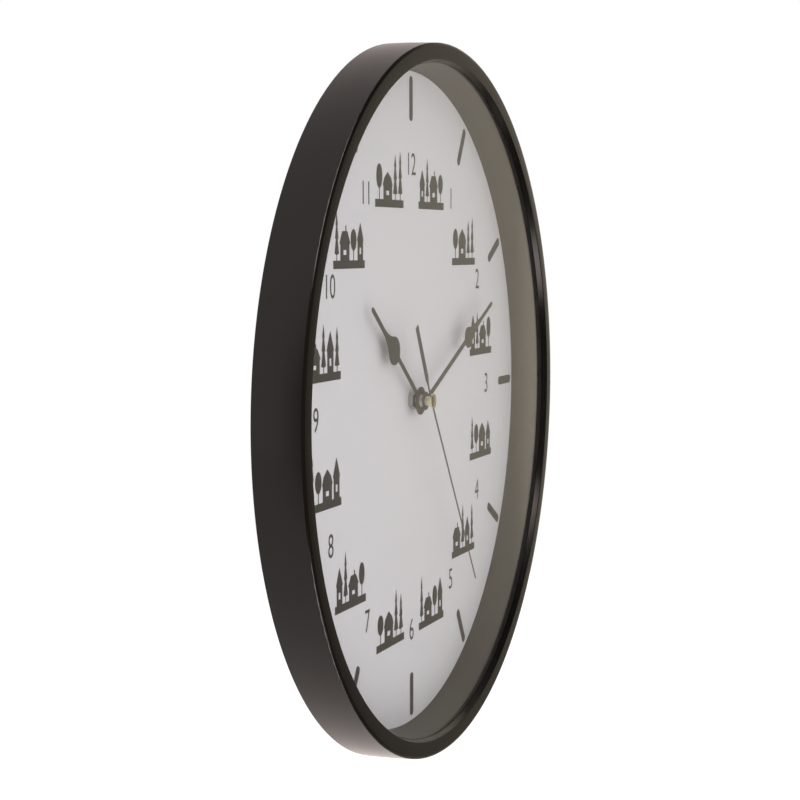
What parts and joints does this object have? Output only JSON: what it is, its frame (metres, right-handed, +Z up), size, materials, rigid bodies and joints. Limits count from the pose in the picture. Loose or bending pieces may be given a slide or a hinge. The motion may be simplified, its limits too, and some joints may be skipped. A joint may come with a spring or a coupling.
{
  "type": "wall clock",
  "caption": "Round quartz wall clock: deep black rim, recessed flat lens, white dial, spade hands and a geared movement that hangs by a keyhole.",
  "frame": {"origin": "centre of the keyhole's round hole, on the wall plane at the back of the rear cover", "axes": "+Z up the wall, +X to the viewer's right, +Y into the wall; the dial faces -Y"},
  "size_m": [0.4016, 0.0434, 0.4016],
  "materials": {
    "case_black": "satin",
    "spacer_black": "satin",
    "lens_clear": "clear",
    "dial_white": "matt white",
    "cover_black": "matt",
    "screw_steel": "zinc plated",
    "movement_black": "matt",
    "rubber": "matt",
    "nut_grey": "plain",
    "battery_jacket": "gloss",
    "contact_metal": "nickel plated",
    "core_iron": "plain",
    "bobbin_white": "matt",
    "copper": "enamelled",
    "board_green": "satin",
    "chip_black": "gloss",
    "crystal_can": "bright",
    "wheel_plastic": "natural",
    "arbor_steel": "plain",
    "pipe_brass": "plain",
    "knob_white": "matt",
    "hand_black": "matt black",
    "collet_grey": "plain",
    "cap_brass": "polished"
  },
  "bodies": {
    "case": {"case_rim": "case_black", "spacer_ring": "spacer_black", "lens": "lens_clear", "dial_plate": "dial_white", "rear_cover": "cover_black", "cover_screws": "screw_steel", "movement_case": "movement_black", "movement_lid": "movement_black", "rubber_washer": "rubber", "mounting_nut": "nut_grey", "battery": "battery_jacket", "positive_contact": "contact_metal", "negative_contact": "contact_metal", "stator": "core_iron", "coil_core": "core_iron", "coil_bobbin": "bobbin_white", "coil_winding": "copper", "circuit_board": "board_green", "timer_chip": "chip_black", "quartz_crystal": "crystal_can"},
    "seconds": {"seconds_wheel": "arbor_steel", "second_hand": "hand_black", "second_hand_boss": "cap_brass", "second_hand_cap": "cap_brass"},
    "rotor": {"rotor": "wheel_plastic"},
    "intermediate": {"intermediate_wheel": "wheel_plastic"},
    "third": {"third_wheel": "wheel_plastic"},
    "centre": {"centre_wheel": "wheel_plastic"},
    "minutes": {"minute_pipe": "pipe_brass", "minute_hand": "hand_black", "minute_hand_collet": "collet_grey"},
    "setting": {"minute_wheel": "wheel_plastic", "setting_knob": "knob_white"},
    "hours": {"hour_wheel": "wheel_plastic", "hour_hand": "hand_black", "hour_hand_collet": "collet_grey"}
  },
  "joints": [
    {"name": "seconds_spin", "type": "hinge", "parent": "case", "child": "seconds", "pos_m": [0, -0.01, -0.104], "axis": [0, 1, 0], "continuous": true},
    {"name": "rotor_spin", "type": "hinge", "parent": "case", "child": "rotor", "pos_m": [0.00194, -0.01, -0.08907], "axis": [0, 1, 0], "continuous": true},
    {"name": "intermediate_spin", "type": "hinge", "parent": "case", "child": "intermediate", "pos_m": [-0.00156, -0.01, -0.09514], "axis": [0, 1, 0], "continuous": true},
    {"name": "third_spin", "type": "hinge", "parent": "case", "child": "third", "pos_m": [0.00886, -0.01, -0.10244], "axis": [0, 1, 0], "continuous": true},
    {"name": "centre_spin", "type": "hinge", "parent": "case", "child": "centre", "pos_m": [0, -0.01, -0.104], "axis": [0, 1, 0], "continuous": true},
    {"name": "minutes_spin", "type": "hinge", "parent": "case", "child": "minutes", "pos_m": [0, -0.01, -0.104], "axis": [0, 1, 0], "continuous": true},
    {"name": "setting_spin", "type": "hinge", "parent": "case", "child": "setting", "pos_m": [-0.00846, -0.01, -0.10708], "axis": [0, 1, 0], "continuous": true},
    {"name": "hours_spin", "type": "hinge", "parent": "case", "child": "hours", "pos_m": [0, -0.01, -0.104], "axis": [0, 1, 0], "continuous": true}
  ],
  "couplings": [
    {"joint": "intermediate_spin", "follows": "seconds_spin", "ratio": -5},
    {"joint": "rotor_spin", "follows": "seconds_spin", "ratio": 30},
    {"joint": "third_spin", "follows": "seconds_spin", "ratio": -0.125},
    {"joint": "centre_spin", "follows": "seconds_spin", "ratio": 0.016667},
    {"joint": "setting_spin", "follows": "minutes_spin", "ratio": -0.33333},
    {"joint": "hours_spin", "follows": "minutes_spin", "ratio": 0.083333}
  ]
}
